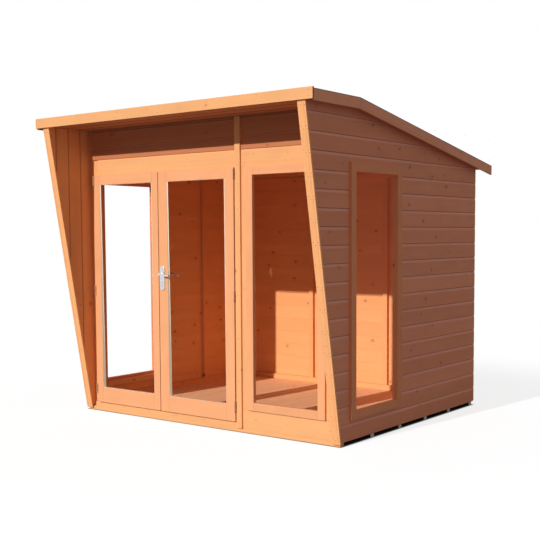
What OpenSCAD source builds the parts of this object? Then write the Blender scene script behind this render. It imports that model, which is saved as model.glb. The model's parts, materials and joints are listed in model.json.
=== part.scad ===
// Timber summerhouse: a glazed front under a level canopy, held between two raked side
// wings, with a roof that falls to the rear. X runs across the front, Y runs from the
// front to the back and Z is up. The origin is on the ground, at the middle of the plan.

/* [Walls] */
// Width over the cladding of the two side walls
house_w = 2390; // [2190:10:2590]
// Length of a side wall, from the front wall's face to its rear end
side_l = 1905; // [1855:5:1925]
// Height from the ground to the level top of the walls under the canopy
plate_z = 2178; // [2174:2:2230]
// Thickness of the shiplap cladding boards
clad_t = 12; // [10:1:16]
// Cover of one shiplap board, from joint to joint
board_cover = 115.6; // [112.5:0.1:115.8]
// Height of the scoop along the top of a shiplap board
scoop_h = 24; // [10:1:40]
// Depth of that scoop
scoop_d = 5; // [3:0.5:6]
// Depth of the wall studs and rails, behind the cladding
frame_t = 28; // [24:1:34]
// Face width of the wall studs and rails
stud_w = 44; // [36:1:50]

/* [Wings] */
// How far a wing's sloping edge stands out at the soffit, from the wall's face
wing_reach = 379; // [340:1:385]
// Width of the board that covers a wing's sloping edge
rake_w = 61; // [52:1:70]

/* [Floor] */
// Height of the bearers under the floor
joist_h = 28; // [24:1:32]
// Thickness of the floor boards
floor_t = 12; // [10:1:20]
// Number of bearers, which run from side to side
joist_n = 6; // [4:1:9]
// Width of a floor board
floor_board_w = 96; // [90:1:120]
// Width of the matched boards in the roof and the wings
match_w = 117; // [90:1:125]

/* [Roof] */
// How far the fascia stands out from the front wall's face
canopy_reach = 409; // [400:1:450]
// How far the roof stands out past each side wall
side_reach = 65; // [50:1:90]
// How far the rear roof edge stands out past the side walls' rear end
rear_reach = 170; // [150:1:190]
// Distance from the front wall's face back to the line where the roof turns down
break_l = 121; // [100:1:140]
// Angle of the rear slope below level
roof_fall = 9.45; // [8:0.01:9.48]
// Height of the fascia board
fascia_h = 71; // [66:1:90]
// Plumb height of the bargeboards
barge_h = 68; // [60:1:80]
// Thickness of the fascia, the bargeboards and the rake boards
trim_t = 15; // [12:1:20]

/* [Windows] */
// Width of a window frame
window_w = 647; // [600:1:660]
// Height of a window frame
window_h = 1662; // [1600:1:1665]
// Width of a window frame's stiles
window_stile = 58; // [45:1:64]
// Height of a window frame's rails
window_rail = 57; // [45:1:65]
// Thickness of the window frames
window_t = 28; // [24:1:32]
// Height of the underside of the window frames above the ground
window_z = 162; // [160:1:166]
// Distance from the front wall's face back to the right side window
right_window_l = 93; // [92:1:150]
// Distance from the front wall's face back to the left side window
left_window_l = 140; // [92:1:180]
// Thickness of the glass
glass_t = 4; // [3:1:6]

/* [Doors] */
// Width of the left door leaf
left_leaf_w = 674; // [650:1:680]
// Width of the right door leaf, which carries the handle
right_leaf_w = 709; // [690:1:720]
// Height of the door leaves
leaf_h = 1752; // [1700:1:1754]
// Thickness of the door leaves
leaf_t = 28; // [26:1:34]
// Opening angle of the left leaf, for viewing
left_open = 0; // [0:1:95]
// Opening angle of the right leaf, for viewing
right_open = 0; // [0:1:160]

/* [Hidden] */
$fn = 48;

// Gap left between the members of one frame
seam = 0.5;
// Hair gap between sloping faces that bear on each other
seat = 0.2;
// Gap round a door leaf, and between a leaf and the frame that it closes against
door_gap = 5;
// Timber colours
timber = [0.93, 0.62, 0.42];
timber_light = [0.96, 0.70, 0.47];
timber_dark = [0.72, 0.42, 0.28];

// Plan: the front wall's face, and planes across the wall's thickness from outside
overall_l = canopy_reach + side_l + rear_reach;
front_y = canopy_reach - overall_l / 2;
out_x = house_w / 2;
stud_x = out_x - clad_t;
in_x = stud_x - frame_t;
lining_t = 12;
lining_x = in_x - lining_t;
stop_y = front_y + clad_t;
frame_y = stop_y + frame_t;
rear_y = front_y + side_l;
rear_clad_y = rear_y + frame_t;
break_y = front_y + break_l;
roof_end_y = rear_y + rear_reach;

// Heights
floor_z = joist_h + floor_t;
soffit_t = 12;
soffit_z = plate_z - soffit_t;
fascia_z = soffit_z - 4;
rafter_h = 27;
deck_z = plate_z + rafter_h;
deck_t = 12;
felt_t = 3;
barge_top = deck_z + deck_t + felt_t + 2;

// Shiplap courses: the first board shows less than the others
first_board = 114;
low_split = joist_h + first_board;
window_top = window_z + window_h;
side_courses = ceil((window_top - low_split) / board_cover);
high_split = low_split + side_courses * board_cover;

// The side windows' front edges, and how far the frames bear on the studs behind
right_window_y = front_y + right_window_l;
left_window_y = front_y + left_window_l;
window_proud = window_t - clad_t;
window_lap = 34;

// Front wall, from left to right: the unit stands between two corner posts
unit_left = 36 - lining_x;
unit_right = lining_x - 2;
corner_post_set = 28;
corner_post_d = 40;
left_leaf_x = unit_left + 46;
meeting_gap = 6;
right_leaf_x = left_leaf_x + left_leaf_w + meeting_gap;
leaf_end_x = right_leaf_x + right_leaf_w;
strip_x = leaf_end_x + door_gap;
strip_w = 47;
strip_proud = 14;
bay_x = strip_x + strip_w;
front_window_x = bay_x + 49;
front_window_end = front_window_x + window_w;
leaf_y = stop_y - door_gap - leaf_t;
threshold_z = 67;
leaf_z = threshold_z + door_gap;
leaf_top = leaf_z + leaf_h;
header_z = leaf_top + door_gap;
header_top = header_z + board_cover - 1.5;
header_scoop_h = 12;
stop_lap = 16;

// Door leaves
left_hinge_stile = 62;
left_meeting_stile = 60;
right_meeting_stile = 85;
right_hinge_stile = 78;
leaf_top_rail = 73;
leaf_bottom_rail = 117;
glass_set = 12;
hinge_h = 75;
hinge_r = 5;
hinge_z = [leaf_z + 105, leaf_z + 868, leaf_top - 41];
hinge_y = leaf_y - hinge_r;
left_axis_x = left_leaf_x - door_gap / 2;
right_axis_x = leaf_end_x + door_gap / 2;

// Lever handle
spindle_r = 4;
spindle_x = right_leaf_x + 36;
spindle_z = leaf_z + 1012;
plate_w = 44;
plate_h = 173;
plate_t = 8;
plate_drop = 118;
lever_l = 100;
lever_set = 40;

// Height of the side walls' top edge at y
function wall_top(y) = plate_z - seat - max(0, y - break_y) * tan(roof_fall);

// Lean of the rake boards, and the y of their front and back faces at height z
rake_foot_z = 15;
rake_lean = wing_reach / (soffit_z - rake_foot_z);
function rake_back(z) = front_y - rake_lean * (z - rake_foot_z);
function rake_front(z) = rake_back(z) - trim_t * sqrt(1 + rake_lean * rake_lean);

// The edge of the wing behind its rake board, and the front edges of the bearers and the floor
function wing_edge(z) = rake_back(z) + seat;
joist_y = wing_edge(rake_foot_z);
floor_y = stop_y + seam;

// Heights of the joints between shiplap boards on the side and back walls
joints = [for (z = [low_split : board_cover : plate_z]) z];

// Depth and height of the scoop under a joint at z, from the board's face up to the joint
function scoop(z, h) = [for (i = [0 : 4]) [-scoop_d * sin(90 * i / 4), z - h + h * i / 4]];

// A V groove, half as wide as it is deep, at each joint along an edge from one end to the other
vee = 2;
function grooved(from, to, at) = concat(
    [[from, 0]],
    [for (j = at) if (j > from + vee && j < to - vee) each [[j - vee, 0], [j, vee], [j + vee, 0]]],
    [[to, 0]]);

// Outline of a run of shiplap in X and Z, with its inner face on x = 0
function shiplap(low, high, at, h) = concat(
    [[0, low], [clad_t, low]],
    [for (z = at) if (z > low + h && z < high) each concat(
        [for (p = scoop(z, h)) [clad_t + p[0], p[1]]], [[clad_t, z]])],
    [[clad_t, high]],
    [for (p = grooved(-high, -low, [for (i = [len(at) - 1 : -1 : 0]) -at[i]])) [p[1], -p[0]]]);

// A block between two opposite corners
module block(low, high) {
    translate(low) cube(high - low);
}

// A plate with an outline in Y and Z, from x0 to x1
module side_plate(outline, x0, x1) {
    translate([x0, 0, 0]) rotate([90, 0, 90]) linear_extrude(x1 - x0) polygon(outline);
}

// Pieces are drawn on the right; the left ones are their mirror image
module on_side(side) {
    if (side == "left") mirror([1, 0, 0]) children();
    else children();
}

// ---------------------------------------------------------------- floor

module floor_joists() {
    pitch = (rear_y - stud_w - joist_y) / (joist_n - 1);
    color(timber_dark)
        for (i = [0 : joist_n - 1])
            block([-stud_x, joist_y + i * pitch, 0], [stud_x, joist_y + i * pitch + stud_w, joist_h]);
}

module floor_boards() {
    at = [for (x = [floor_board_w / 2 - 13 * floor_board_w : floor_board_w : stud_x]) x];
    color(timber_light) translate([0, rear_clad_y, 0]) rotate([90, 0, 0])
        linear_extrude(rear_clad_y - floor_y) polygon(concat(
            [[stud_x, joist_h], [-stud_x, joist_h]],
            [for (p = grooved(-stud_x, stud_x, at)) [p[0], floor_z - p[1]]]));
}

// ---------------------------------------------------------------- back wall

back_top = wall_top(rear_clad_y);

module back_wall_cladding() {
    color(timber) translate([stud_x, rear_clad_y, 0]) rotate([90, 0, 90])
        mirror([0, 0, 1]) linear_extrude(2 * stud_x)
            polygon(shiplap(joist_h, back_top, joints, scoop_h));
}

module back_wall_frame() {
    inner_stud = 382;
    low = floor_z + stud_w + seam;
    high = back_top - stud_w - seam;
    color(timber_dark) {
        block([-stud_x, rear_y, floor_z], [stud_x, rear_clad_y, floor_z + stud_w]);
        block([-stud_x, rear_y, back_top - stud_w], [stud_x, rear_clad_y, back_top]);
        for (x = [-stud_x, -inner_stud - stud_w / 2, inner_stud - stud_w / 2, stud_x - stud_w])
            block([x, rear_y, low], [x + stud_w, rear_clad_y, high]);
    }
}

// ---------------------------------------------------------------- side walls

// The part of the wall's run of shiplap that lies within an outline in Y and Z
module wall_boards(outline) {
    front = wing_edge(plate_z) - 1;
    color(timber) intersection() {
        translate([stud_x, rear_y + 1, 0]) rotate([90, 0, 0]) linear_extrude(rear_y + 1 - front)
            polygon(shiplap(joist_h - 1, plate_z + 1, joints, scoop_h));
        side_plate(outline, stud_x - 1, out_x + 1);
    }
}

// The boards from the ground course up to the underside of the window that starts at window_y
module wall_lower_cladding(window_y) {
    window_rear_y = window_y + window_w;
    wall_boards([
        [wing_edge(joist_h), joist_h], [rear_y, joist_h], [rear_y, low_split],
        [window_rear_y, low_split], [window_rear_y, window_z],
        [window_y, window_z], [window_y, low_split], [wing_edge(low_split), low_split]
    ]);
}

// The boards between the window and the sloping front edge
module wing_cladding(window_y) {
    wall_boards([
        [wing_edge(low_split), low_split], [window_y, low_split],
        [window_y, high_split], [wing_edge(high_split), high_split]
    ]);
}

module wall_rear_cladding(window_y) {
    window_rear_y = window_y + window_w;
    wall_boards([
        [window_rear_y, low_split], [rear_y, low_split],
        [rear_y, high_split], [window_rear_y, high_split]
    ]);
}

// The boards over the window, cut to the line of the roof
module wall_upper_cladding(window_y) {
    window_rear_y = window_y + window_w;
    wall_boards([
        [wing_edge(high_split), high_split], [window_y, high_split], [window_y, window_top],
        [window_rear_y, window_top], [window_rear_y, high_split], [rear_y, high_split],
        [rear_y, wall_top(rear_y)], [break_y, wall_top(break_y)],
        [wing_edge(wall_top(break_y)), wall_top(break_y)]
    ]);
}

// A stud from the bottom rail up to the top rail, whose top follows the roof
module side_stud(y) {
    top = -stud_w - seam;
    side_plate([
        [y, floor_z + stud_w + seam], [y + stud_w, floor_z + stud_w + seam],
        [y + stud_w, wall_top(y + stud_w) + top], [y, wall_top(y) + top]
    ], in_x, stud_x);
}

module wall_frame(window_y) {
    low = floor_z + stud_w + seam;
    top = wall_top(break_y);
    high = top - stud_w - seam;
    lean_w = stud_w * sqrt(1 + rake_lean * rake_lean);
    front_stud_y = window_y + window_lap - stud_w;
    rear_stud_y = window_y + window_w - window_lap;
    mid_stud_y = (rear_stud_y + rear_y) / 2 + 12;
    color(timber_dark) {
        block([in_x, floor_y, floor_z], [stud_x, rear_y, floor_z + stud_w]);
        side_plate([
            [wing_edge(low), low], [wing_edge(low) + lean_w, low],
            [wing_edge(high) + lean_w, high], [wing_edge(high), high]
        ], in_x, stud_x);
        side_plate([
            [wing_edge(top - stud_w), top - stud_w], [break_y - seam, top - stud_w],
            [break_y - seam, top], [wing_edge(top), top]
        ], in_x, stud_x);
        side_plate([
            [break_y, top - stud_w], [rear_y, wall_top(rear_y) - stud_w],
            [rear_y, wall_top(rear_y)], [break_y, top]
        ], in_x, stud_x);
        for (y = [front_stud_y, rear_stud_y, mid_stud_y, rear_y - stud_w]) side_stud(y);
        for (z = [window_z + window_lap - stud_w, window_top - window_lap])
            block([in_x, front_stud_y + stud_w + seam, z], [stud_x, rear_stud_y - seam, z + stud_w]);
    }
}

// Boards that line the inner face of a wing, in front of the corner post
module wing_lining() {
    back = front_y + corner_post_set;
    front = wing_edge(plate_z) - 1;
    first_joint = back + 7 - 4 * match_w;
    face = grooved(front, back, [for (y = [first_joint : match_w : back]) y]);
    color(timber_dark) intersection() {
        linear_extrude(plate_z + 1) polygon(concat(
            [for (p = face) [lining_x + p[1], p[0]]], [[in_x, back], [in_x, front]]));
        side_plate([
            [wing_edge(floor_z), floor_z], [back + 1, floor_z],
            [back + 1, plate_z - seat], [wing_edge(plate_z - seat), plate_z - seat]
        ], lining_x - 1, in_x + 1);
    }
}

// The board on the wing's edge, and the strip beside it that covers the cladding's ends
module rake_board() {
    strip_t = 16;
    split_x = out_x - strip_t;
    color(timber_light)
        for (span = [[out_x - rake_w, split_x - seam], [split_x, out_x]])
            side_plate([
                [rake_front(rake_foot_z), rake_foot_z], [rake_back(rake_foot_z), rake_foot_z],
                [rake_back(fascia_z), fascia_z], [rake_front(fascia_z), fascia_z]
            ], span[0], span[1]);
}

// ---------------------------------------------------------------- windows

// Stiles and rails of one frame, drawn upright from the origin with its face on y = 0
module window_frame() {
    color(timber_light) {
        for (x = [0, window_w - window_stile])
            block([x, 0, 0], [x + window_stile, window_t, window_h]);
        for (z = [0, window_h - window_rail])
            block([window_stile + seam, 0, z],
                [window_w - window_stile - seam, window_t, z + window_rail]);
    }
}

module window_pane() {
    color([0.75, 0.85, 0.88, 0.35])
        block([window_stile + seam, glass_set, window_rail + seam],
            [window_w - window_stile - seam, glass_set + glass_t, window_h - window_rail - seam]);
}

// Turns a frame's parts into the right-hand side wall
module in_side_wall(window_y) {
    translate([out_x + window_proud, window_y, window_z]) rotate([0, 0, 90]) children();
}

module in_front_wall() {
    translate([front_window_x, front_y - window_proud, window_z]) children();
}

// ---------------------------------------------------------------- front wall

module front_wall_frame() {
    low = threshold_z + seam;
    high = plate_z - stud_w - seam;
    door_post = leaf_end_x - stop_lap;
    window_from = front_window_x + window_lap;
    window_to = front_window_end - window_lap;
    color(timber_dark) {
        block([unit_left, stop_y, floor_z], [unit_right, frame_y, threshold_z]);
        block([unit_left, stop_y, plate_z - stud_w], [unit_right, frame_y, plate_z]);
        block([unit_left, stop_y, low], [left_leaf_x + stop_lap, frame_y, high]);
        block([door_post, stop_y, low], [bay_x - seam, frame_y, high]);
        block([bay_x, stop_y, low], [window_from, frame_y, high]);
        block([window_to, stop_y, low], [unit_right, frame_y, high]);
        block([left_leaf_x + stop_lap + seam, stop_y, header_z],
            [door_post - seam, frame_y, header_z + stud_w]);
        for (z = [window_z + window_lap - stud_w, window_top - window_lap])
            block([window_from + seam, stop_y, z], [window_to - seam, frame_y, z + stud_w]);
        for (span = [[-in_x, unit_left - seam], [unit_right + seam, in_x]])
            block([span[0], front_y + corner_post_set, floor_z],
                [span[1], front_y + corner_post_set + corner_post_d, plate_z - seat]);
    }
}

// Shiplap on the front wall, from x0 to x1
module front_boards(x0, x1, low, high, at, h) {
    translate([x0, stop_y, 0]) rotate([90, 0, -90]) mirror([0, 0, 1]) linear_extrude(x1 - x0)
        polygon(shiplap(low, high, at, h));
}

// Cladding over the header, in shade under the canopy
module front_upper_panels() {
    door_joint = header_top + 93;
    window_joint = header_top + 98;
    color(timber_dark) {
        front_boards(unit_left + 5, strip_x, header_top + seam, plate_z, [door_joint], scoop_h);
        front_boards(bay_x, unit_right - 5, header_top + seam, plate_z, [window_joint], scoop_h);
    }
}

// The boards over the doors and over the window, each with a scooped top
module front_header_boards() {
    color(timber_light)
        for (span = [[left_leaf_x + 20, strip_x], [bay_x, unit_right - 5]])
            front_boards(span[0], span[1], header_z, header_top, [header_top - 0.01], header_scoop_h);
}

// The threshold, the board under the window and the strips beside the window
module front_lower_boards() {
    color(timber_light) {
        block([unit_left, front_y, joist_h], [strip_x, stop_y, threshold_z]);
        block([bay_x, front_y, joist_h], [unit_right, stop_y, window_z]);
        block([bay_x, front_y, window_z + seam], [front_window_x, stop_y, header_z - seam]);
        block([front_window_end, front_y, window_z + seam], [unit_right, stop_y, header_z - seam]);
    }
}

// The strip over the joint of the door panel and the window panel
module centre_cover_strip() {
    color(timber_light)
        block([strip_x, front_y - strip_proud, joist_h], [bay_x, stop_y, soffit_z]);
}

// ---------------------------------------------------------------- doors

// Stiles and rails of a leaf, w wide from its left edge at x
module leaf(x, w, left_stile, right_stile) {
    right = x + w - right_stile;
    back = leaf_y + leaf_t;
    color(timber_light) {
        block([x, leaf_y, leaf_z], [x + left_stile, back, leaf_top]);
        block([right, leaf_y, leaf_z], [right + right_stile, back, leaf_top]);
        block([x + left_stile + seam, leaf_y, leaf_z], [right - seam, back, leaf_z + leaf_bottom_rail]);
        block([x + left_stile + seam, leaf_y, leaf_top - leaf_top_rail], [right - seam, back, leaf_top]);
    }
}

module leaf_glass(x, w, left_stile, right_stile) {
    color([0.75, 0.85, 0.88, 0.35])
        block([x + left_stile + seam, leaf_y + glass_set, leaf_z + leaf_bottom_rail + seam],
            [x + w - right_stile - seam, leaf_y + glass_set + glass_t,
                leaf_top - leaf_top_rail - seam]);
}

module left_door_leaf() {
    leaf(left_leaf_x, left_leaf_w, left_hinge_stile, left_meeting_stile);
}

module left_door_glass() {
    leaf_glass(left_leaf_x, left_leaf_w, left_hinge_stile, left_meeting_stile);
}

// The handle's spindle passes through the meeting stile
module right_door_leaf() {
    difference() {
        leaf(right_leaf_x, right_leaf_w, right_meeting_stile, right_hinge_stile);
        spindle_bore();
    }
}

module right_door_glass() {
    leaf_glass(right_leaf_x, right_leaf_w, right_meeting_stile, right_hinge_stile);
}

// Clearance for the spindle, through the plates and the stile
module spindle_bore() {
    translate([spindle_x, leaf_y - 2 * plate_t, spindle_z]) rotate([-90, 0, 0])
        cylinder(r = spindle_r + 0.5, h = leaf_t + 4 * plate_t);
}

// Barrel pieces of a butt hinge: the fixed half has the outer two thirds
module barrel(z0, z1) {
    translate([0, hinge_y, z0]) cylinder(r = hinge_r, h = z1 - z0);
}

// The halves of the hinges that are fixed to the front wall
module door_hinges() {
    third = hinge_h / 3;
    color("dimgray")
        for (z = hinge_z) {
            for (x = [left_axis_x, right_axis_x]) translate([x, 0, 0]) {
                barrel(z - hinge_h / 2, z - third / 2 - seam);
                barrel(z + third / 2 + seam, z + hinge_h / 2);
            }
            block([right_axis_x + 0.5, hinge_y, z - hinge_h / 2],
                [strip_x, stop_y, z - third / 2 - seam]);
            block([right_axis_x + 0.5, hinge_y, z + third / 2 + seam],
                [strip_x, stop_y, z + hinge_h / 2]);
            block([left_axis_x - door_gap / 2, hinge_y, z - hinge_h / 2],
                [left_axis_x - 0.5, stop_y, z - third / 2 - seam]);
            block([left_axis_x - door_gap / 2, hinge_y, z + third / 2 + seam],
                [left_axis_x - 0.5, stop_y, z + hinge_h / 2]);
        }
}

// The halves that ride on a leaf: the middle knuckle and its flap on the leaf's edge
module leaf_hinges(axis_x, edge_x) {
    third = hinge_h / 3;
    color("dimgray")
        for (z = hinge_z) {
            translate([axis_x, 0, 0]) barrel(z - third / 2, z + third / 2);
            block([min(edge_x, axis_x), hinge_y, z - third / 2],
                [max(edge_x, axis_x), hinge_y + hinge_r + 16, z + third / 2]);
        }
}

module left_door_hinges() {
    leaf_hinges(left_axis_x, left_leaf_x);
}

module right_door_hinges() {
    leaf_hinges(right_axis_x, leaf_end_x);
}

// Long plates with clipped ends, on both faces of the meeting stile
module handle_plates() {
    clip = 12;
    half = plate_w / 2;
    low = spindle_z - plate_drop;
    high = low + plate_h;
    outline = [
        [-half, low + clip], [-half + clip, low], [half - clip, low], [half, low + clip],
        [half, high - clip], [half - clip, high], [-half + clip, high], [-half, high - clip]
    ];
    color("silver")
        difference() {
            for (y = [leaf_y, leaf_y + leaf_t + plate_t])
                translate([spindle_x, y, 0]) rotate([90, 0, 0])
                    linear_extrude(plate_t) polygon(outline);
            spindle_bore();
        }
}

// Half width of the lever and the height of its middle line, t along it from 0 to 1
function lever_half(t) = 9 - 3.5 * t;
function lever_wave(t) = 6 * cos(180 * t) - 6;

// One lever, drawn from its neck with its grip along +X
module lever_grip(depth) {
    steps = 12;
    top = [for (i = [0 : steps]) let (t = i / steps)
        [lever_l * t, lever_wave(t) + lever_half(t)]];
    bottom = [for (i = [steps : -1 : 0]) let (t = i / steps)
        [lever_l * t, lever_wave(t) - lever_half(t)]];
    rotate([90, 0, 0]) linear_extrude(depth) union() {
        polygon(concat(top, bottom));
        circle(r = lever_half(0));
    }
}

module lever_handle() {
    grip_t = 12;
    gap = 0.4;
    outer = leaf_y - plate_t - gap;
    inner = leaf_y + leaf_t + plate_t + gap;
    color("silver") translate([spindle_x, 0, spindle_z]) union() {
        rotate([90, 0, 0]) translate([0, 0, -inner - lever_set])
            cylinder(r = spindle_r, h = inner - outer + 2 * lever_set);
        translate([0, outer, 0]) rotate([90, 0, 0]) cylinder(r = 9, h = lever_set);
        translate([0, inner + lever_set, 0]) rotate([90, 0, 0]) cylinder(r = 9, h = lever_set);
        translate([0, outer - lever_set + grip_t, 0]) lever_grip(grip_t);
        translate([0, inner + lever_set, 0]) lever_grip(grip_t);
    }
}

// Turns a leaf's pieces about its hinge pins, for viewing
module left_swing() {
    translate([left_axis_x, hinge_y, 0]) rotate([0, 0, -left_open])
        translate([-left_axis_x, -hinge_y, 0]) children();
}

module right_swing() {
    translate([right_axis_x, hinge_y, 0]) rotate([0, 0, right_open])
        translate([-right_axis_x, -hinge_y, 0]) children();
}

// ---------------------------------------------------------------- roof

roof_x = out_x + side_reach;
deck_x = roof_x - trim_t;
deck_front = front_y - canopy_reach + trim_t;
deck_rear = roof_end_y - 6;

// Height on the rear slope of a plane that lies rise above the walls' top
function slope(y, rise) = plate_z + rise - (y - break_y) * tan(roof_fall);

// A layer of the rear slope, between two rises above the walls' top
module slope_layer(low, high, y0, y1, x0, x1) {
    side_plate([
        [y0, slope(y0, low)], [y1, slope(y1, low)], [y1, slope(y1, high)], [y0, slope(y0, high)]
    ], x0, x1);
}

module fascia_board() {
    color(timber_light)
        block([-roof_x, front_y - canopy_reach, fascia_z], [roof_x, deck_front, fascia_z + fascia_h]);
}

module bargeboards() {
    rise = barge_top - plate_z;
    color(timber) {
        block([deck_x, deck_front, barge_top - barge_h], [roof_x, break_y - seam, barge_top]);
        slope_layer(rise - barge_h, rise, break_y, roof_end_y, deck_x, roof_x);
    }
}

module canopy_soffit() {
    back = front_y - strip_proud;
    face = grooved(deck_front, back, [for (y = [back - 4 * match_w : match_w : back]) y]);
    color(timber_dark) side_plate(concat(
        [for (p = face) [p[0], soffit_z + p[1]]],
        [[back, plate_z], [deck_front, plate_z]]
    ), -lining_x + 1, lining_x - 1);
}

// Rafters of the canopy, side rails, two cross bearers and the rear rails
module roof_bearers() {
    bearer_h = 60;
    bearer_y = front_y + corner_post_set + corner_post_d + seam;
    rail_h = rafter_h - seat;
    mid_y = (break_y + rear_y) / 2;
    color(timber_dark) {
        for (x = [-stud_x, -577 - stud_w / 2, -stud_w / 2, 577 - stud_w / 2, stud_x - stud_w])
            block([x, deck_front, plate_z], [x + stud_w, break_y - seam, deck_z]);
        for (side = ["left", "right"]) on_side(side)
            slope_layer(0, rail_h, break_y, rear_y - seam, stud_x - stud_w, stud_x);
        block([-in_x + seam, bearer_y, plate_z - bearer_h], [in_x - seam, break_y, plate_z - seam]);
        slope_layer(rafter_h - bearer_h, rail_h, mid_y - stud_w, mid_y,
            -stud_x + stud_w + seam, stud_x - stud_w - seam);
        slope_layer(0, rail_h, rear_y, rear_clad_y, -stud_x, stud_x);
        slope_layer(0, rail_h, rear_clad_y + clad_t + seam, rear_clad_y + clad_t + stud_w,
            -deck_x, deck_x);
    }
}

module roof_boards() {
    at = [for (y = [deck_front + match_w : match_w : deck_rear]) y];
    top = rafter_h + deck_t;
    color(timber_dark) {
        block([-deck_x, deck_front, deck_z], [deck_x, break_y - seam, deck_z + deck_t]);
        side_plate(concat(
            [for (p = grooved(break_y, deck_rear, at)) [p[0], slope(p[0], rafter_h) + p[1]]],
            [[deck_rear, slope(deck_rear, top)], [break_y, slope(break_y, top)]]
        ), -deck_x, deck_x);
    }
}

module roof_felt() {
    low = rafter_h + deck_t;
    color([0.28, 0.30, 0.29]) {
        block([-deck_x, deck_front, plate_z + low], [deck_x, break_y - seam, plate_z + low + felt_t]);
        slope_layer(low, low + felt_t, break_y, deck_rear, -deck_x, deck_x);
    }
}

// ---------------------------------------------------------------- nodes

floor_joists();
floor_boards();
back_wall_cladding();
back_wall_frame();
on_side("left") wall_lower_cladding(left_window_y);  // left_wall_lower_cladding
on_side("left") wing_cladding(left_window_y);  // left_wing_cladding
on_side("left") wall_rear_cladding(left_window_y);  // left_wall_rear_cladding
on_side("left") wall_upper_cladding(left_window_y);  // left_wall_upper_cladding
on_side("right") wall_lower_cladding(right_window_y);  // right_wall_lower_cladding
on_side("right") wing_cladding(right_window_y);  // right_wing_cladding
on_side("right") wall_rear_cladding(right_window_y);  // right_wall_rear_cladding
on_side("right") wall_upper_cladding(right_window_y);  // right_wall_upper_cladding
on_side("left") wall_frame(left_window_y);  // left_wall_frame
on_side("right") wall_frame(right_window_y);  // right_wall_frame
on_side("left") wing_lining();  // left_wing_lining
on_side("right") wing_lining();  // right_wing_lining
on_side("left") rake_board();  // left_rake_board
on_side("right") rake_board();  // right_rake_board
on_side("left") in_side_wall(left_window_y) window_frame();  // left_window_frame
on_side("right") in_side_wall(right_window_y) window_frame();  // right_window_frame
in_front_wall() window_frame();  // front_window_frame
on_side("left") in_side_wall(left_window_y) window_pane();  // left_window_glass
on_side("right") in_side_wall(right_window_y) window_pane();  // right_window_glass
in_front_wall() window_pane();  // front_window_glass
front_wall_frame();
front_upper_panels();
front_header_boards();
front_lower_boards();
centre_cover_strip();
left_swing() left_door_leaf();
left_swing() left_door_glass();
right_swing() right_door_leaf();
right_swing() right_door_glass();
door_hinges();
left_swing() left_door_hinges();
right_swing() right_door_hinges();
right_swing() handle_plates();
right_swing() lever_handle();
fascia_board();
on_side("left") bargeboards();  // left_bargeboards
on_side("right") bargeboards();  // right_bargeboards
canopy_soffit();
roof_bearers();
roof_boards();
roof_felt();
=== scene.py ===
"""The finish of a timber summerhouse: boards, joinery, roof, ironmongery and a plain studio."""

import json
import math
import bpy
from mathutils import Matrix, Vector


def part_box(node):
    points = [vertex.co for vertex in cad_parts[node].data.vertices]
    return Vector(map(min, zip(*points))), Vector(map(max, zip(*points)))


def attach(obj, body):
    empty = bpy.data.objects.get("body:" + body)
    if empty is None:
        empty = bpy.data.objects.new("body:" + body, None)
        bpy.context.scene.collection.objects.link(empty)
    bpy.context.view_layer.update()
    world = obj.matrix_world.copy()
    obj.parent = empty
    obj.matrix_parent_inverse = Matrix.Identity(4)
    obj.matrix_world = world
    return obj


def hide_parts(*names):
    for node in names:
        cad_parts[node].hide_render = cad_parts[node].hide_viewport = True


bl_info = {
    "name": "Timber summerhouse",
    "version": (1, 0, 0),
    "blender": (4, 5, 0),
    "location": "View3D > Sidebar > Summerhouse",
    "description": "Dresses the frame of a summerhouse with timber, glass, felt and fittings",
    "category": "Object",
}

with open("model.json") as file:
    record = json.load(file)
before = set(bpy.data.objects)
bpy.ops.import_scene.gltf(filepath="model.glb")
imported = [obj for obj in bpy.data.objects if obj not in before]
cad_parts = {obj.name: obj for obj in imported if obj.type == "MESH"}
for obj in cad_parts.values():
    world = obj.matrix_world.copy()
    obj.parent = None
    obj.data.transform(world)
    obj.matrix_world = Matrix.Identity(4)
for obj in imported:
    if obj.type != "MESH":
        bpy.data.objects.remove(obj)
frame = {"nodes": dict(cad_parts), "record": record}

import bmesh
import bpy
from bpy.props import FloatProperty, FloatVectorProperty, PointerProperty
from mathutils import Matrix, Vector

MM = 0.001
SIDES = ("left", "right")
UP = Vector((0, 0, 1))
AXES = {"x": Vector((1, 0, 0)), "y": Vector((0, 1, 0)), "z": UP}
FRONT = -AXES["y"]
# How far a planed face is taken back, so that the heads of its nails stay within the node
HEAD_ROOM = 0.5 * MM
# Steps in the grain from one member to the next and from one bank of members to the next
MEMBER_RUN, BANK_RUN = 3.7, 1.3
MEMBER_BOARDS, BANK_BOARDS = 40, 200


# ------------------------------------------------------------------ settings

def colour(name, description, default):
    """A setting for a colour"""
    return FloatVectorProperty(name=name, description=description, subtype="COLOR",
                               default=default, min=0, max=1)


def length(name, description, default):
    """A setting for a length"""
    return FloatProperty(name=name, description=description, subtype="DISTANCE", unit="LENGTH",
                         default=default, min=0)


def angle(name, description, degrees):
    """A setting for an angle"""
    return FloatProperty(name=name, description=description, subtype="ANGLE",
                         default=math.radians(degrees))


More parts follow.
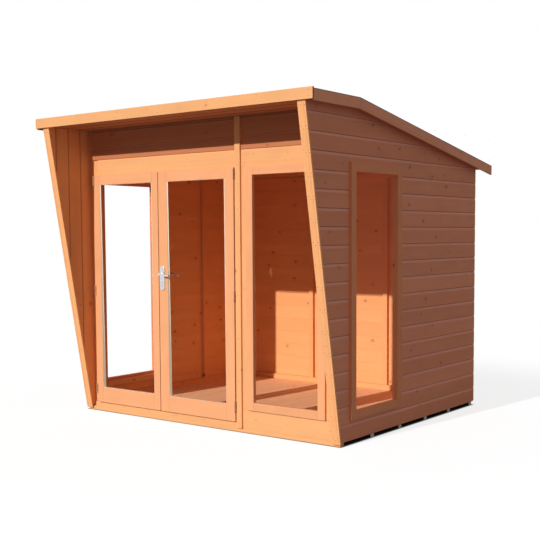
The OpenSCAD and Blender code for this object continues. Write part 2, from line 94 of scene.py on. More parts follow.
class SummerhouseColours(bpy.types.PropertyGroup):
    """Colours of the finishes"""

    boards: colour("Boards", "Golden brown preservative on the cladding", (0.85, 0.325, 0.185))
    # Painted light: paler than the boards, standing in for the sky light on the scooped top of each board
    sky_lit_scoop: colour("Scoops", "The scooped top of a cladding board", (0.95, 0.45, 0.34))
    # Painted shade: a darker copy of the board colour, for the boards in the shade of the canopy, in the
    # head of the front and in the soffit
    head: colour("Head", "Boards in the head of the front", (0.58, 0.21, 0.093))
    trim: colour("Trim", "The same preservative on planed trim", (0.90, 0.445, 0.19))
    # Painted light: brighter than the trim, making up for the light that the leaning face of a rake board
    # misses
    rake: colour("Rake boards", "The same on the leaning edges of the wings", (1.0, 0.475, 0.20))
    # Painted shade: a pinker, less green copy of the trim colour, standing in for the cool light of the
    # shade on the sides of the roof
    barge: colour("Bargeboards", "The same on the edges of the roof", (0.92, 0.385, 0.225))
    joinery: colour("Joinery", "Stiles and rails of the doors and the front window", (0.90, 0.415, 0.197))
    # Painted shade: darker than the front joinery, standing in for the shade on the side walls
    shaded_sash: colour("Side windows", "Stiles and rails of the side windows", (0.87, 0.32, 0.15))
    inside: colour("Inside", "Frames, linings and the inner faces", (0.91, 0.42, 0.168))
    floor: colour("Floor", "Floor boards", (0.99, 0.57, 0.31))
    bearers: colour("Bearers", "Treated bearers under the floor", (0.10, 0.07, 0.05))
    sawn: colour("Sawn ends", "Ends of the bearers, fresh from the saw", (0.94, 0.91, 0.85))
    end_grain: colour("End grain", "Ends of boards, which take up more finish", (0.40, 0.145, 0.065))
    knots: colour("Knots", "Knots and resin", (0.21, 0.066, 0.03))
    # Painted shadow, in the joints of the boards and in the keyway of the lock
    gap: colour("Joints", "The shadow in a joint", (0.19, 0.055, 0.028))
    bead: colour("Beads", "Glazing beads", (0.95, 0.76, 0.56))
    felt: colour("Felt", "Mineral surface of the roofing felt", (0.105, 0.125, 0.115))
    chrome: colour("Chrome", "Door furniture", (0.66, 0.67, 0.70))
    hinge: colour("Hinges", "Plated steel under the finish of the doors", (0.50, 0.27, 0.15))
    nail: colour("Nails", "Heads of nails under the finish", (0.32, 0.13, 0.07))
    zinc: colour("Zinc", "Heads of felt nails", (0.42, 0.40, 0.37))


class SummerhouseSizes(bpy.types.PropertyGroup):
    """Sizes of what is added to the frame"""

    arris: length("Arris", "Rounding along the edges of planed timber", 1.6 * MM)
    fine_arris: length("Fine arris", "Rounding of joinery and door furniture", 1.2 * MM)
    hinge_arris: length("Hinge arris", "Rounding of the hinges", 0.5 * MM)
    course: length("Course", "Cover of one cladding board", 115.6 * MM)
    first_course: length("First course", "Height of the first board line", 142 * MM)
    match_board: length("Matchboard", "Cover of one lining board", 117 * MM)
    floor_board: length("Floor board", "Cover of one floor board", 96 * MM)
    bead: length("Bead", "Width and depth of a glazing bead", 12 * MM)
    nail: length("Nail", "Diameter of a nail's head", 5.5 * MM)
    clout: length("Clout", "Diameter of a felt nail's head", 10 * MM)
    screw: length("Screw", "Diameter of a screw's head", 7 * MM)


class SummerhouseStudio(bpy.types.PropertyGroup):
    """Camera and lamps"""

    place: FloatVectorProperty(name="Camera", description="Place of the camera", subtype="TRANSLATION",
                               unit="LENGTH", default=(4.5076, -5.8892, 1.3653))
    heading: angle("Heading", "Turn of the camera about the vertical", 37.3226)
    pitch: angle("Pitch", "Tilt of the camera below level", 4.1756)
    roll: angle("Roll", "Roll of the camera", -0.3242)
    lens: FloatProperty(name="Lens", description="Focal length", unit="CAMERA", default=63.56)
    shift: FloatVectorProperty(name="Shift", description="Shift of the lens across and up", size=2,
                               default=(-0.0067, 0.0632))
    key: FloatProperty(name="Key", description="Strength of the key lamp", default=3.05, min=0)
    sun: FloatVectorProperty(name="Sun", description="The way the key lamp shines",
                             subtype="DIRECTION", default=(0.10, 1.0, -0.465))
    softness: angle("Softness", "Width of the key lamp as seen from the building", 0.8)
    sky: FloatProperty(name="Sky", description="Strength of the even light", default=0.3, min=0)


# ------------------------------------------------------------------ shader maths

class Socket:
    """An output of a shader node, with Python's arithmetic on it"""

    def __init__(self, graph, output):
        self.graph = graph
        self.output = output

    def maths(self, operation, *others):
        """A Math node that has this output as its first value"""
        feeds = dict(enumerate((self, *others)))
        return self.graph.node("ShaderNodeMath", {"operation": operation}, feeds)

    def __add__(self, other):
        return self.maths("ADD", other)

    def __sub__(self, other):
        return self.maths("SUBTRACT", other)

    def __rsub__(self, other):
        return self.graph.node("ShaderNodeMath", {"operation": "SUBTRACT"}, {0: other, 1: self})

    def __mul__(self, other):
        return self.maths("MULTIPLY", other)

    def __truediv__(self, other):
        return self.maths("DIVIDE", other)

    def __pow__(self, other):
        return self.maths("POWER", other)

    __radd__ = __add__
    __rmul__ = __mul__

    def floor(self):
        return self.maths("FLOOR")

    def sine(self):
        return self.maths("SINE")

    def abs(self):
        return self.maths("ABSOLUTE")

    def ramp(self, low, high):
        """0 below low and 1 above high, with a soft step between"""
        return self.graph.node("ShaderNodeMapRange", {"interpolation_type": "SMOOTHSTEP"},
                               {"Value": self, "From Min": low, "From Max": high})


class Graph:
    """The nodes of a material or of the world"""

    def __init__(self, owner):
        owner.use_nodes = True
        self.tree = owner.node_tree
        self.tree.nodes.clear()

    def node(self, kind, settings=None, feeds=None, out=0):
        """Adds a node, sets it and feeds its sockets, and gives the outputs that are asked for"""
        made = self.tree.nodes.new(kind)
        for name, value in (settings or {}).items():
            setattr(made, name, value)
        for name, value in (feeds or {}).items():
            self.feed(made.inputs[name], value)
        if isinstance(out, tuple):
            return [Socket(self, made.outputs[one]) for one in out]
        return Socket(self, made.outputs[out])

    def feed(self, entry, value):
        """Links an output to a socket, or sets the socket's own value"""
        if isinstance(value, Socket):
            self.tree.links.new(value.output, entry)
        elif entry.type == "RGBA" and len(value) == 3:
            entry.default_value = (*value, 1)
        else:
            entry.default_value = value

    def split(self, vector):
        """The three numbers in a vector"""
        return self.node("ShaderNodeSeparateXYZ", feeds={0: vector}, out=(0, 1, 2))

    def join(self, x, y, z):
        """A vector of three numbers"""
        return self.node("ShaderNodeCombineXYZ", feeds={0: x, 1: y, 2: z})

    def place(self):
        """The place on the object"""
        return self.node("ShaderNodeTexCoord", out="Object")

    def noise(self, vector, scale=1.0, detail=2):
        """Clouds from 0 to 1"""
        return self.node("ShaderNodeTexNoise", feeds={"Vector": vector, "Scale": scale, "Detail": detail})

    def chance(self, vector):
        """Three numbers that are settled by a place and nothing else"""
        return self.split(self.node("ShaderNodeTexWhiteNoise", {"noise_dimensions": "3D"},
                                    {"Vector": vector}, out="Color"))

    def mix(self, factor, first, second):
        """A colour between two colours"""
        return self.node("ShaderNodeMix", {"data_type": "RGBA"}, {0: factor, 6: first, 7: second}, out=2)

    def shade(self, tint, factor):
        """A colour made darker or lighter by a factor"""
        return self.node("ShaderNodeVectorMath", {"operation": "SCALE"}, {0: tint, "Scale": factor})

    def bump(self, height, distance, strength):
        """The slope of a surface that has this height"""
        return self.node("ShaderNodeBump",
                         feeds={"Height": height, "Distance": distance, "Strength": strength})

    def seen(self):
        """1 where the camera looks, also by way of a mirror or glass, and 0 for other light"""
        camera, glossy, through = self.node(
            "ShaderNodeLightPath", out=("Is Camera Ray", "Is Glossy Ray", "Is Transmission Ray"))
        return camera.maths("MAXIMUM", glossy).maths("MAXIMUM", through)

    def blend(self, share, first, second):
        """A shader between two shaders"""
        return self.node("ShaderNodeMixShader", feeds={0: share, 1: first, 2: second})

    def surface(self, shader, output="ShaderNodeOutputMaterial"):
        """Gives the owner this shader"""
        end = self.tree.nodes.new(output)
        self.tree.links.new(shader.output, end.inputs["Surface"])

    def principled(self, **feeds):
        """Gives the owner a Principled shader"""
        named = {name.replace("_", " "): value for name, value in feeds.items()}
        self.surface(self.node("ShaderNodeBsdfPrincipled", feeds=named))


# ------------------------------------------------------------------ materials

def wood(g, tint, board=1.0, knots=0.5, rough=0.56, figure=0.26, tone=0.07,
         joint=0.0, shadow=0.75, sky_lit_scoop=0.0, painted_light_strength=0.65):
    """Softwood whose boards lie side by side, board metres apart, under a stained finish.

    knots tells how many and how large they are, figure how strong the growth rings are, and tone
    how much one board differs from the next. joint is the width of the painted shadow at a joint,
    and shadow its depth; sky_lit_scoop is the height of the scooped band under a joint, which is
    painted paler as painted sky light, and painted_light_strength how strong that painted light is.
    """
    colours = bpy.context.scene.summerhouse_colours
    grain = g.node("ShaderNodeAttribute", {"attribute_name": "grain"}, out="Vector")
    run, across, deep = g.split(grain)
    index = (across / board).floor()
    middle = across - (index + 0.5) * board
    luck_a, luck_b, luck_c = g.chance(g.join(index, 3.0, 5.0))
    along = run + luck_a * 9.0

    # knots, at most one in each stretch of a board and all in a band along its middle
    stretch, band = 310 * MM, 85 * MM
    smallest, largest = 0.6 * MM, 13 * MM
    cell = (along / stretch).floor()
    knot_a, knot_b, knot_c = g.chance(g.join(cell, index, 11.0))
    from_knot = along - (cell + 0.25 + knot_a * 0.5) * stretch
    beside_knot = middle - (knot_b - 0.5) * band
    size = knot_c.ramp(1 - knots, 1.3) * largest + smallest
    wobble = g.noise(g.join(along, middle, knot_a), 55.0)
    reach = ((from_knot * from_knot * 0.5 + beside_knot * beside_knot) ** 0.5) / size
    reach = reach * (0.45 + 1.1 * wobble)
    knot = 1 - reach.ramp(0.45, 1.05)
    halo = 1 - reach.ramp(0.8, 2.8)

    # growth rings, cut nearly flat, that part round each knot
    waves, heart_spread, heart_depth, wander, parting = 560.0, 160 * MM, 35 * MM, 40 * MM, 5 * MM
    drift = g.noise(g.join(along * 0.4, middle * 4.0, luck_b * 20.0)) - 0.5
    heart = middle + (luck_b - 0.5) * heart_spread + drift * wander
    ring_reach = (heart * heart + (deep + heart_depth) * (deep + heart_depth)) ** 0.5
    ring_reach = ring_reach + halo * parting
    ring = ((ring_reach * waves + luck_c * 6.0).sine() * 0.5 + 0.5) ** 2.0
    fibre = g.noise(g.join(along * 2.0, middle * 130.0, deep * 130.0))
    cloud = g.noise(g.join(along * 1.3, middle * 9.0, luck_a * 30.0))
    patch = g.noise(g.join(along * 6.0, middle * 14.0, luck_b * 30.0))

    # the tint where a ring is dense, and where the grain crowds round a knot
    late = tuple(c * f for c, f in zip(tint, (0.86, 0.72, 0.64)))
    dark = tuple(c * f for c, f in zip(tint, (0.80, 0.64, 0.52)))
    body = g.mix(ring * figure + fibre * 0.16, tint, late)
    body = g.mix(halo * 0.4, body, dark)
    body = g.shade(body, 0.99 + (luck_c - 0.5) * tone + (cloud - 0.5) * 0.16 + (patch - 0.5) * 0.12)
    body = g.mix(knot * (0.3 + 0.5 * knot_a), body, tuple(colours.knots))
    # Painted light: the scooped band under each joint is painted paler, as painted sky light, and the joint
    # itself darker, as painted shadow
    if sky_lit_scoop:
        below = board * 0.5 - middle
        painted_sky_light = (1 - below.ramp(sky_lit_scoop * 0.6, sky_lit_scoop)) * painted_light_strength * (0.7 + 0.6 * cloud)
        body = g.mix(painted_sky_light, body, tuple(colours.sky_lit_scoop))
        body = g.mix(shadow * (1 - below.ramp(joint * 0.6, joint)), body, tuple(colours.gap))
    elif joint:
        beside = board * 0.5 - middle.abs()
        body = g.mix(shadow * (1 - beside.ramp(joint * 0.3, joint)), body, tuple(colours.gap))
    height = fibre * 0.35 + ring * 0.4 - knot * 0.3
    g.principled(Base_Color=body, Roughness=rough + fibre * 0.14 - knot * 0.12,
                 Normal=g.bump(height, 0.5 * MM, 0.5), Specular_IOR_Level=0.1)


def shiplap(g, tint, course, painted_light_strength=0.65):
    """The weathered face of shiplap boards, with painted sky light in their scoops and painted shadow at
    their joints
    """
    wood(g, tint, course, knots=0.66, rough=0.58, joint=4.6 * MM, sky_lit_scoop=24 * MM, painted_light_strength=painted_light_strength)


def bead_paint(g, tint):
    """Smooth pale finish, a little uneven"""
    cloud = g.noise(g.place(), 22.0)
    g.principled(Base_Color=g.shade(tint, 0.94 + cloud * 0.12), Roughness=0.45 + cloud * 0.1,
                 Normal=g.bump(g.noise(g.place(), 420.0), 0.2 * MM, 0.3))


def metal(g, tint, rough, brushed):
    """Plated metal with fine upright marks"""
    place = g.place()
    marks = g.node("ShaderNodeVectorMath", {"operation": "MULTIPLY"}, {0: place, 1: (1600.0, 1600.0, 120.0)})
    cloud = g.noise(place, 90.0)
    fine = g.noise(marks, detail=1)
    g.principled(Base_Color=g.shade(tint, 0.85 + cloud * 0.3), Metallic=1.0,
                 Roughness=rough + cloud * 0.12 + fine * brushed, Normal=g.bump(fine, 0.05 * MM, 0.25))


def felt_finish(g, tint):
    """Crushed mineral on bitumen"""
    grit = g.node("ShaderNodeTexVoronoi", feeds={"Vector": g.place(), "Scale": 620.0}, out="Color")
    grey = g.split(grit)[0]
    cloud = g.noise(g.place(), 3.0, detail=4)
    g.principled(Base_Color=g.shade(tint, 0.62 + grey * 0.55 + cloud * 0.35), Roughness=0.9,
                 Normal=g.bump(grey, 0.8 * MM, 0.8), Specular_IOR_Level=0.25)


def clear_glass(g):
    """A thin pane: what is behind it shows, under a reflection that grows at a glance"""
    wave = g.noise(g.place(), 1.4, detail=1)
    gloss = g.node("ShaderNodeBsdfGlossy", feeds={"Roughness": 0.02 + wave * 0.01,
                                                 "Normal": g.bump(wave, 2 * MM, 0.4)})
    clear = g.node("ShaderNodeBsdfTransparent", feeds={"Color": (1, 1, 1)})
    facing = g.node("ShaderNodeLayerWeight", feeds={"Blend": 0.5}, out="Facing")
    g.surface(g.blend(facing ** 5.0 * 0.2 + 0.0005, clear, gloss))


def stage_finish(g):
    """A white floor that keeps the object's shadow close by, is painted dark under it as painted shade, and
    white far off
    """
    near, horizon, edge = 2.4, 4.4, 30 * MM
    low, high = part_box("floor_joists")
    middle = (low.y + high.y) / 2
    half = high.y - middle
    x, y, _ = g.split(g.place())
    far = ((x * x + y * y) ** 0.5).ramp(near, horizon)
    beside = x.abs().ramp(high.x, high.x + edge)
    before = (y - middle).abs().ramp(half, half + edge)
    open_air = 1 - (1 - beside) * (1 - before)
    bounce, shown = (0.24, 0.24, 0.24), (0.86, 0.86, 0.86)
    seen = g.seen()
    # Painted shade: under the building the floor's colour is taken down to a tenth
    shaded_floor_colour = g.shade(g.mix(seen, bounce, shown), 0.1 + 0.9 * open_air)
    matt = g.node("ShaderNodeBsdfDiffuse", feeds={"Color": shaded_floor_colour})
    white = g.node("ShaderNodeEmission", feeds={"Color": (1, 1, 1), "Strength": 1.22 - 0.22 * far})
    g.surface(g.blend(seen * open_air * (0.65 + 0.35 * far), matt, white))


# What each finish does to a graph g, with the colours c and the sizes s
FINISHES = {
    "boards": lambda g, c, s: shiplap(g, c.boards, s.course),
    # Painted shade: the head boards take the darker head colour, and little painted sky light in their
    # scoops
    "shaded_head_boards": lambda g, c, s: shiplap(g, c.head, s.course, painted_light_strength=0.12),
    "board_backs": lambda g, c, s: wood(g, c.inside, s.course, knots=0.85, figure=0.14, tone=0.03),
    "matchboard": lambda g, c, s: wood(g, c.inside, s.match_board, joint=8 * MM, shadow=0.55),
    # Painted shade: the soffit takes the darker head colour, with deep painted shadow at its joints
    "soffit": lambda g, c, s: wood(g, c.head, s.match_board, joint=12 * MM, shadow=0.85),
    "floor": lambda g, c, s: wood(g, c.floor, s.floor_board, joint=2 * MM, shadow=0.5),
    "trim": lambda g, c, s: wood(g, c.trim, knots=0.35, figure=0.15),
    "rake": lambda g, c, s: wood(g, c.rake, knots=0.0, figure=0.12),
    "barge": lambda g, c, s: wood(g, c.barge, knots=0.45, figure=0.2),
    "joinery": lambda g, c, s: wood(g, c.joinery, knots=0.1, rough=0.5, figure=0.14),
    "shaded_sash": lambda g, c, s: wood(g, c.shaded_sash, knots=0.2, rough=0.5, figure=0.2),
    "inside": lambda g, c, s: wood(g, c.inside),
    "bearers": lambda g, c, s: wood(g, c.bearers, rough=0.8),
    "sawn": lambda g, c, s: wood(g, c.sawn, knots=0.0, rough=0.8),
    "end_grain": lambda g, c, s: wood(g, c.end_grain, knots=0.0, rough=0.7),
    "bead": lambda g, c, s: bead_paint(g, c.bead),
    "felt": lambda g, c, s: felt_finish(g, c.felt),
    "chrome": lambda g, c, s: metal(g, c.chrome, rough=0.16, brushed=0.05),
    "hinge": lambda g, c, s: metal(g, c.hinge, rough=0.45, brushed=0.12),
    "nail": lambda g, c, s: metal(g, c.nail, rough=0.5, brushed=0.1),
    "zinc": lambda g, c, s: metal(g, c.zinc, rough=0.4, brushed=0.1),
    "keyway_shade": lambda g, c, s: metal(g, c.gap, rough=0.6, brushed=0.1),
    "glass": lambda g, c, s: clear_glass(g),
    "stage": lambda g, c, s: stage_finish(g),
}


def finish(kind):
    """The material of that kind, made when it is first asked for"""
    name = kind + "_finish"
    if name not in bpy.data.materials:
        scene = bpy.context.scene
        graph = Graph(bpy.data.materials.new(name))
        FINISHES[kind](graph, scene.summerhouse_colours, scene.summerhouse_sizes)
    return bpy.data.materials[name]


# ------------------------------------------------------------------ meshes

def islands(bm):
    """The loose parts of a mesh, as lists of vertices"""
    left = set(bm.verts)
    found = []
    for start in bm.verts:
        if start not in left:
            continue
        left.discard(start)
        part, edge = [start], [start]
        while edge:
            vert = edge.pop()
            for link in vert.link_edges:
                other = link.other_vert(vert)
                if other in left:
                    left.discard(other)
                    part.append(other)
                    edge.append(other)
        found.append(part)
    return found


def verts_of(geometry):
    """The vertices in what a bmesh operator returns"""
    return [one for one in geometry if isinstance(one, bmesh.types.BMVert)]


def faces_of(part):
    """The faces that a list of vertices carries"""
    return list(dict.fromkeys(face for vert in part for face in vert.link_faces))


def broad_face(part, facing):
    """The largest face of a member that looks the given way"""
    faces = [face for face in faces_of(part) if face.normal.dot(facing) > 0.7]
    return max(faces, key=lambda face: face.calc_area())


def own_axes(part):
    """Directions of a member's length, width and thickness, and its middle"""
    middle = sum((vert.co for vert in part), Vector()) / len(part)
    edges = [edge for vert in part for edge in vert.link_edges]
    longest = max(edges, key=lambda edge: round(edge.calc_length(), 5))
    run = (longest.verts[1].co - longest.verts[0].co).normalized()
    spans = {name: max(vert.co.dot(axis) for vert in part) - min(vert.co.dot(axis) for vert in part)
             for name, axis in AXES.items()}
    deep = AXES[min(spans, key=spans.get)]
    return run, deep.cross(run), deep, middle


def lay_grain(bm, sort=None, run=None, across=None, start=None, board=1.0, bank=0):
    """Writes each vertex's place in its board: along it, across it, through it.

    Members lie along their own axes, unless run and across give the boards' way. start is a point
    on a joint, or a function that gives one from a member's middle. sort gives the number of a
    face's finish from the face, its member's length and its member's middle. bank sets the grain
    apart from that of pieces with another bank.
    """
    layer = bm.verts.layers.float_vector.new("grain")
    for number, part in enumerate(islands(bm)):
        length_way, width_way, deep, middle = own_axes(part)
        if run is None:
            origin, shift = middle, number + bank + 0.5
        else:
            length_way, width_way, deep = run, across, run.cross(across)
            origin = Vector(start(middle) if callable(start) else start)
            shift = (number * MEMBER_BOARDS + bank * BANK_BOARDS) * board
        for vert in part:
            place = vert.co - origin
            vert[layer] = (place.dot(length_way) + number * MEMBER_RUN + bank * BANK_RUN,
                           place.dot(width_way) + shift, place.dot(deep))
        if sort:
            for face in faces_of(part):
                face.material_index = sort(face, length_way, middle)


def ends_apart(face, run, middle):
    """The long faces of a member take its first finish, its ends take the second"""
    return int(abs(face.normal.dot(run)) > 0.9)


def back_apart(outward):
    """The weathered face of a wall takes its first finish, the rest takes the second"""
    return lambda face, run, middle: int(face.normal.dot(outward) < 0.3)


def round_edges(bm, width):
    """Rounds every sharp edge"""
    sharpest = math.radians(25)
    sharp = [edge for edge in bm.edges if len(edge.link_faces) == 2 and edge.calc_face_angle(0) > sharpest]
    bmesh.ops.bevel(bm, geom=sharp, offset=width, offset_type="OFFSET", segments=2, profile=0.5,
                    affect="EDGES", clamp_overlap=True, material=-1)


def make_object(name, bm, finishes):
    """Makes an object of a bmesh and gives it its finishes"""
    mesh = bpy.data.meshes.new(name)
    bm.to_mesh(mesh)
    bm.free()
    for one in finishes:
        mesh.materials.append(finish(one))
    made = bpy.data.objects.new(name, mesh)
    bpy.context.scene.collection.objects.link(made)
    return made


def add_piece(name, bm, finishes, body, slot):
    """Makes an object of a bmesh and hangs it on its body"""
    piece = make_object(name, bm, finishes)
    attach(piece, body)
    return piece


def body_of(node):
    """The body that carries a node"""
    bodies = frame["record"]["behaviour"]["bodies"]
    return next(body for body, nodes in bodies.items() if node in nodes)


def slot_of(node):
    """The material slot of a node"""
    return next(row["material_slot"] for row in frame["record"]["subparts"] if row["node"] == node)


def copy_node(node):
    """A bmesh of a node's solids, with its flat faces whole"""
    source = frame["nodes"][node]
    bm = bmesh.new()
    bm.from_mesh(source.data)
    bm.transform(source.matrix_world)
    bmesh.ops.remove_doubles(bm, verts=bm.verts, dist=0.02 * MM)
    bmesh.ops.dissolve_limit(bm, angle_limit=math.radians(0.5), verts=bm.verts, edges=bm.edges,
                             use_dissolve_boundaries=False)
    bm.normal_update()
    return bm


def dress(node, finishes, sort=None, arris=None, bm=None, **grain):
    """Stands a copy of a node in its place, with grain in its timber and its edges rounded"""
    bm = bm or copy_node(node)
    lay_grain(bm, sort, **grain)
    round_edges(bm, arris or bpy.context.scene.summerhouse_sizes.arris)
    piece = add_piece(node + "_dressed", bm, finishes, body_of(node), slot_of(node))
    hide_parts(node)


def add_block(bm, centre, size, turn=Matrix.Identity(4)):
    """A block of that size round a point; gives its vertices"""
    matrix = Matrix.Translation(centre) @ turn @ Matrix.Diagonal((*size, 1))
    return bmesh.ops.create_cube(bm, size=1, matrix=matrix)["verts"]


def add_head(bm, place, facing, size, height=0.8 * MM, segments=8):
    """The head of a nail or a screw on a surface, narrower at the top"""
    turn = facing.to_track_quat("Z", "Y").to_matrix().to_4x4()
    bmesh.ops.create_cone(bm, cap_ends=True, segments=segments, radius1=size / 2, radius2=size * 0.42,
                          depth=height, matrix=Matrix.Translation(place + facing * height * 0.1) @ turn)


def nail_face(bm, face, run, spacing, rows, size):
    """Drives nails along a face; rows says how far across it each row runs, from 0 to 1"""
    inset, stagger = 30 * MM, 18 * MM
    across = face.normal.cross(run).normalized()
    run = across.cross(face.normal)
    along = [vert.co.dot(run) for vert in face.verts]
    wide = [vert.co.dot(across) for vert in face.verts]
    deep = face.calc_center_median().dot(face.normal)
    length_left = max(along) - min(along) - 2 * inset
    count = max(1, round(length_left / spacing))
    for number in range(count + 1):
        for later, row in enumerate(rows):
            step = length_left * number / count + (stagger * later if number < count else 0)
            place = run * (min(along) + inset + step)
            place += across * (min(wide) + (max(wide) - min(wide)) * row)
            add_head(bm, place + face.normal * deep, face.normal, size)


# ------------------------------------------------------------------ the pieces

class SUMMERHOUSE_OT_stage(bpy.types.Operator):
    """Adds the floor, the camera, the key lamp and the even light round them"""

    bl_idname = "summerhouse.stage"
    bl_label = "Stage"

    def execute(self, context):
        half_width = 40
        bm = bmesh.new()
        bmesh.ops.create_grid(bm, x_segments=1, y_segments=1, size=half_width)
        make_object("studio_floor", bm, ["stage"])
        self.add_camera(context, context.scene.summerhouse_studio)
        self.add_lights(context, context.scene.summerhouse_studio)
        context.scene.view_settings.view_transform = "Standard"
        return {"FINISHED"}

    def add_camera(self, context, studio):
        """A camera off the right end of the front, lower than the tops of the doors"""
        data = bpy.data.cameras.new("camera")
        data.sensor_width = 36
        data.lens = studio.lens
        data.shift_x, data.shift_y = studio.shift
        data.clip_start, data.clip_end = 0.05, 200
        camera = bpy.data.objects.new("camera", data)
        level = Matrix.Rotation(math.pi / 2 - studio.pitch, 4, "X")
        turn = Matrix.Rotation(studio.heading, 4, "Z")
        roll = Matrix.Rotation(studio.roll, 4, "Z")
        camera.matrix_world = Matrix.Translation(studio.place) @ turn @ level @ roll
        context.scene.collection.objects.link(camera)
        context.scene.camera = camera

    def add_lights(self, context, studio):
        """A key lamp before the front, and a world that is even light but looks white"""
        key = bpy.data.lights.new("key", "SUN")
        key.energy = studio.key
        key.angle = studio.softness
        lamp = bpy.data.objects.new("key", key)
        lamp.rotation_mode = "QUATERNION"
        lamp.rotation_quaternion = Vector(studio.sun).to_track_quat("-Z", "Y")
        context.scene.collection.objects.link(lamp)
        context.scene.world = bpy.data.worlds.new("studio")
        g = Graph(context.scene.world)
        even = g.node("ShaderNodeBackground", feeds={"Color": (1, 1, 1), "Strength": studio.sky})
        white = g.node("ShaderNodeBackground", feeds={"Color": (1, 1, 1), "Strength": 1.0})
        g.surface(g.blend(g.seen(), even, white), "ShaderNodeOutputWorld")


class SUMMERHOUSE_OT_cladding(bpy.types.Operator):
    """Finishes the shiplap boards of the side and back walls"""

    bl_idname = "summerhouse.cladding"
    bl_label = "Cladding"

    def execute(self, context):
        sizes = context.scene.summerhouse_sizes
        finishes = ["boards", "board_backs"]
        start = (0, 0, sizes.first_course)
        for number, side in enumerate(SIDES):
            outward = AXES["x"] * (2 * number - 1)
            for part, bank in (("wall_lower", 10), ("wing", 4), ("wall_rear", 9), ("wall_upper", 10)):
                dress(f"{side}_{part}_cladding", finishes, sort=back_apart(outward),
                      arris=sizes.arris / 2, run=AXES["y"], across=UP, start=start,
                      board=sizes.course, bank=number * 7 + bank)
        dress("back_wall_cladding", finishes, sort=back_apart(AXES["y"]), arris=sizes.arris / 2,
              run=AXES["x"], across=UP, start=start, board=sizes.course, bank=3)
        return {"FINISHED"}


class SUMMERHOUSE_OT_matchboard(bpy.types.Operator):
    """Finishes the boards that line the wings, the canopy and the head of the front"""

    bl_idname = "summerhouse.matchboard"
    bl_label = "Matchboard"

    def execute(self, context):
        sizes = context.scene.summerhouse_sizes
        leaf_proud, first_lining, first_soffit = 21 * MM, 35 * MM, -14 * MM
        wall_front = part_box("right_door_leaf")[0].y + leaf_proud
        for number, side in enumerate(SIDES):
            dress(f"{side}_wing_lining", ["matchboard"], run=UP, across=AXES["y"],
                  start=(0, wall_front + first_lining, 0), board=sizes.match_board, bank=number + 1)
        dress("canopy_soffit", ["soffit"], run=AXES["x"], across=AXES["y"],
              start=(0, wall_front + first_soffit, 0), board=sizes.match_board, bank=3)
        dress("front_upper_panels", ["shaded_head_boards", "board_backs"], sort=back_apart(FRONT),
              run=AXES["x"], across=UP, start=self.upper_joint, board=sizes.course, bank=4)
        return {"FINISHED"}

    def upper_joint(self, middle):
        """A point on the joint of the boards over the doors, or over the window"""
        above_doors, above_window = 93 * MM, 98 * MM
        over_doors = middle.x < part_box("centre_cover_strip")[0].x
        header_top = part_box("front_header_boards")[1].z
        return (0, 0, header_top + (above_doors if over_doors else above_window))


class SUMMERHOUSE_OT_framing(bpy.types.Operator):
    """Finishes studs, rails, rafters and bearers"""

    bl_idname = "summerhouse.framing"
    bl_label = "Framing"

    def execute(self, context):
        for number, node in enumerate(("left_wall_frame", "right_wall_frame", "back_wall_frame",
                                       "front_wall_frame", "roof_bearers")):
            dress(node, ["inside", "end_grain"], sort=ends_apart, bank=number * 20)
        dress("floor_joists", ["bearers", "sawn", "trim"], sort=self.bearer_face, bank=120)
        return {"FINISHED"}

    def bearer_face(self, face, run, middle):
        """The front bearer has the finish of the trim, and the others show pale sawn ends"""
        front_bearer = 20 * MM
        if middle.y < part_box("floor_boards")[0].y + front_bearer:
            return 2
        return ends_apart(face, run, middle)


# Of each planed board: the way its face looks, the way it runs, how far apart its nails are, and
# how far across the face each row of them is
TRIM = {
    "fascia_board": (FRONT, AXES["x"], 0.42, (0.25, 0.75)),
    "left_bargeboards": (-AXES["x"], AXES["y"], 0.5, (0.3, 0.7)),
    "right_bargeboards": (AXES["x"], AXES["y"], 0.5, (0.3, 0.7)),
    "left_rake_board": (FRONT, UP, 0.145, (0.3, 0.62)),
    "right_rake_board": (FRONT, UP, 0.145, (0.38, 0.7)),
    "centre_cover_strip": (FRONT, UP, 0.3, (0.5,)),
    "front_header_boards": (FRONT, AXES["x"], 0.46, (0.22, 0.7)),
    "front_lower_boards": (FRONT, AXES["x"], 0.3, (0.5,)),
}


def trim_copy(node):
    """A copy of a planed board, its face taken back so that heads on it stay within the node"""
    bm = copy_node(node)
    facing = TRIM[node][0]
    for part in islands(bm):
        for vert in broad_face(part, facing).verts:
            vert.co -= facing * HEAD_ROOM
    return bm


class SUMMERHOUSE_OT_trim(bpy.types.Operator):
    """Finishes the planed boards that cover edges and joints"""

    bl_idname = "summerhouse.trim"
    bl_label = "Trim"

    def execute(self, context):
        for number, node in enumerate(TRIM):
            kind = next((kind for kind in ("barge", "rake") if kind in node), "trim")
            dress(node, [kind, "end_grain"], sort=ends_apart, bm=trim_copy(node), bank=number * 8)
        self.add_fillets()
        return {"FINISHED"}

    def add_fillets(self):
        """Strips that close the gap over the leaves and over the front window"""
        clearance = 1 * MM
        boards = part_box("front_header_boards")
        bm = bmesh.new()
        for first, last in (("left_door_leaf", "right_door_leaf"),
                            ("front_window_frame", "front_window_frame")):
            low = Vector((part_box(first)[0].x, boards[0].y + clearance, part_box(first)[1].z + clearance))
            high = Vector((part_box(last)[1].x, boards[1].y - clearance, boards[0].z))
            add_block(bm, (low + high) / 2, high - low)
        lay_grain(bm, bank=90)
        add_piece("head_fillets", bm, ["trim"], "building", "trim")


class SUMMERHOUSE_OT_joinery(bpy.types.Operator):
    """Finishes the stiles and rails of doors and windows"""

    bl_idname = "summerhouse.joinery"
    bl_label = "Joinery"

    def execute(self, context):
        arris = context.scene.summerhouse_sizes.fine_arris
        finishes = {"left_door_leaf": "joinery", "right_door_leaf": "joinery",
                    "front_window_frame": "joinery", "left_window_frame": "shaded_sash",
                    "right_window_frame": "shaded_sash"}
        for number, (node, one) in enumerate(finishes.items()):
            dress(node, [one], bank=number * 6, arris=arris)
        return {"FINISHED"}


